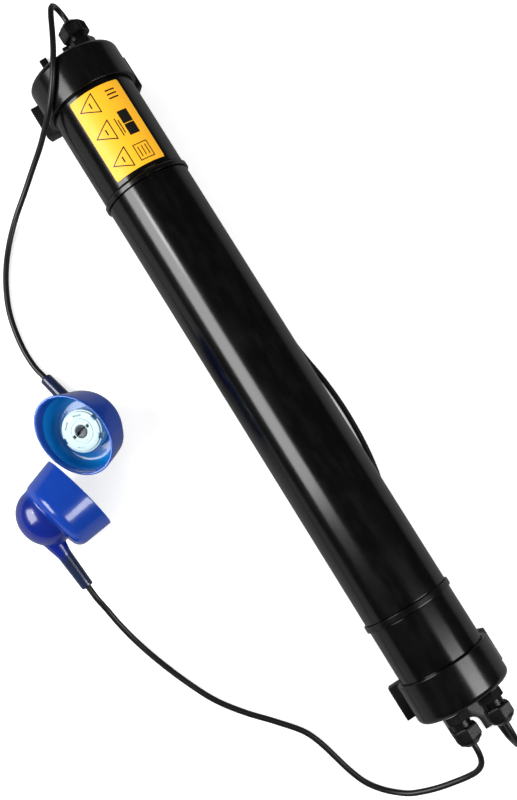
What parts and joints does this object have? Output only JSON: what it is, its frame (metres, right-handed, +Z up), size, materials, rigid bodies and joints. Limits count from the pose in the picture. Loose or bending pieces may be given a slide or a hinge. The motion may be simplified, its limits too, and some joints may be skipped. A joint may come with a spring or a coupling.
{
  "type": "uv clarifier control-gear housing",
  "caption": "Sealed tubular control-gear housing on clip brackets, with lamp leads that end in rubber boots, and a mains lead.",
  "frame": {"origin": "centre of the housing's footprint on the surface that its brackets stand on", "axes": "+X along the tube towards the end cap with a pair of glands, +Z up, away from the brackets"},
  "size_m": [0.863, 0.3465, 0.1152],
  "materials": {
    "black_pvc": "extruded and moulded, semi-gloss",
    "black_nylon": "moulded, satin",
    "cable_sheath": "extruded, satin",
    "blue_rubber": "moulded, soft and glossy",
    "seal_rubber": "moulded, dull",
    "white_resin": "moulded, semi-gloss",
    "grey_nylon": "moulded, satin",
    "label_film": "printed film",
    "zinc_steel": "zinc plated sheet",
    "contact_brass": "stamped, bright",
    "brown_core": "extruded insulation",
    "blue_core": "extruded insulation",
    "earth_core": "extruded insulation"
  },
  "bodies": {
    "housing": {"middle_tube": "black_pvc", "single_end_tube": "black_pvc", "twin_end_tube": "black_pvc", "single_collar": "black_pvc", "twin_collar": "black_pvc", "single_end_cap": "black_pvc", "twin_end_cap": "black_pvc", "single_cap_seal": "seal_rubber", "twin_cap_seal": "seal_rubber", "single_bracket": "black_nylon", "twin_bracket": "black_nylon", "single_gland_body": "black_nylon", "single_gland_washer": "grey_nylon", "single_gland_locknut": "black_nylon", "twin_gland_body": "black_nylon", "twin_gland_washer": "grey_nylon", "twin_gland_locknut": "black_nylon", "mains_gland_body": "black_nylon", "mains_gland_washer": "grey_nylon", "mains_gland_locknut": "black_nylon", "label": "label_film", "gear_tray": "zinc_steel", "ballast_case": "zinc_steel", "ballast_cover": "zinc_steel", "single_tray_screw": "zinc_steel", "twin_tray_screw": "zinc_steel", "single_terminal_block": "white_resin", "twin_terminal_block": "white_resin", "single_lead_wires": "cable_sheath", "twin_lead_wires": "cable_sheath", "mains_lead_wires": "cable_sheath", "single_ballast_wires": "cable_sheath", "twin_ballast_wires": "cable_sheath", "single_boot": "blue_rubber", "single_lamp_holder": "white_resin", "single_lamp_holder_contact_1": "contact_brass", "single_lamp_holder_contact_2": "contact_brass", "twin_boot": "blue_rubber", "twin_lamp_holder": "white_resin", "twin_lamp_holder_contact_1": "contact_brass", "twin_lamp_holder_contact_2": "contact_brass", "single_lamp_lead": "cable_sheath", "twin_lamp_lead": "cable_sheath", "mains_lead": "cable_sheath", "mains_hank": "cable_sheath", "hank_tie": "black_nylon", "mains_lead_tail": "cable_sheath", "mains_core_brown": "brown_core", "mains_core_blue": "blue_core", "mains_core_earth": "earth_core"},
    "single_insert": {"single_gland_insert": "seal_rubber"},
    "single_nut": {"single_gland_dome_nut": "black_nylon"},
    "twin_insert": {"twin_gland_insert": "seal_rubber"},
    "twin_nut": {"twin_gland_dome_nut": "black_nylon"},
    "mains_insert": {"mains_gland_insert": "seal_rubber"},
    "mains_nut": {"mains_gland_dome_nut": "black_nylon"},
    "single_rotor": {"single_lamp_holder_rotor": "grey_nylon"},
    "twin_rotor": {"twin_lamp_holder_rotor": "grey_nylon"}
  },
  "joints": [
    {"name": "single_nut_travel", "type": "slide", "parent": "housing", "child": "single_insert", "axis": [-1, 0, 0], "range_m": [0, 0.0031]},
    {"name": "single_nut_turn", "type": "hinge", "parent": "single_insert", "child": "single_nut", "pos_m": [-0.4, 0.0185, 0.078], "axis": [-1, 0, 0], "range_deg": [0, 720]},
    {"name": "twin_nut_travel", "type": "slide", "parent": "housing", "child": "twin_insert", "axis": [1, 0, 0], "range_m": [0, 0.0031]},
    {"name": "twin_nut_turn", "type": "hinge", "parent": "twin_insert", "child": "twin_nut", "pos_m": [0.4, -0.0185, 0.078], "axis": [1, 0, 0], "range_deg": [0, 720]},
    {"name": "mains_nut_travel", "type": "slide", "parent": "housing", "child": "mains_insert", "axis": [1, 0, 0], "range_m": [0, 0.0031]},
    {"name": "mains_nut_turn", "type": "hinge", "parent": "mains_insert", "child": "mains_nut", "pos_m": [0.4, 0.0185, 0.078], "axis": [1, 0, 0], "range_deg": [0, 720]},
    {"name": "single_rotor_turn", "type": "hinge", "parent": "housing", "child": "single_rotor", "pos_m": [-0.0483, -0.1739, 0.0284], "axis": [0.0832, -0.432, 0.898], "range_deg": [0, 90]},
    {"name": "twin_rotor_turn", "type": "hinge", "parent": "housing", "child": "twin_rotor", "pos_m": [0.0132, -0.2528, 0.04], "axis": [-0.2545, 0.9614, -0.105], "range_deg": [0, 90]}
  ],
  "couplings": [
    {"joint": "single_nut_travel", "follows": "single_nut_turn", "m_per_rad": 0.00023873},
    {"joint": "twin_nut_travel", "follows": "twin_nut_turn", "m_per_rad": 0.00023873},
    {"joint": "mains_nut_travel", "follows": "mains_nut_turn", "m_per_rad": 0.00023873}
  ]
}
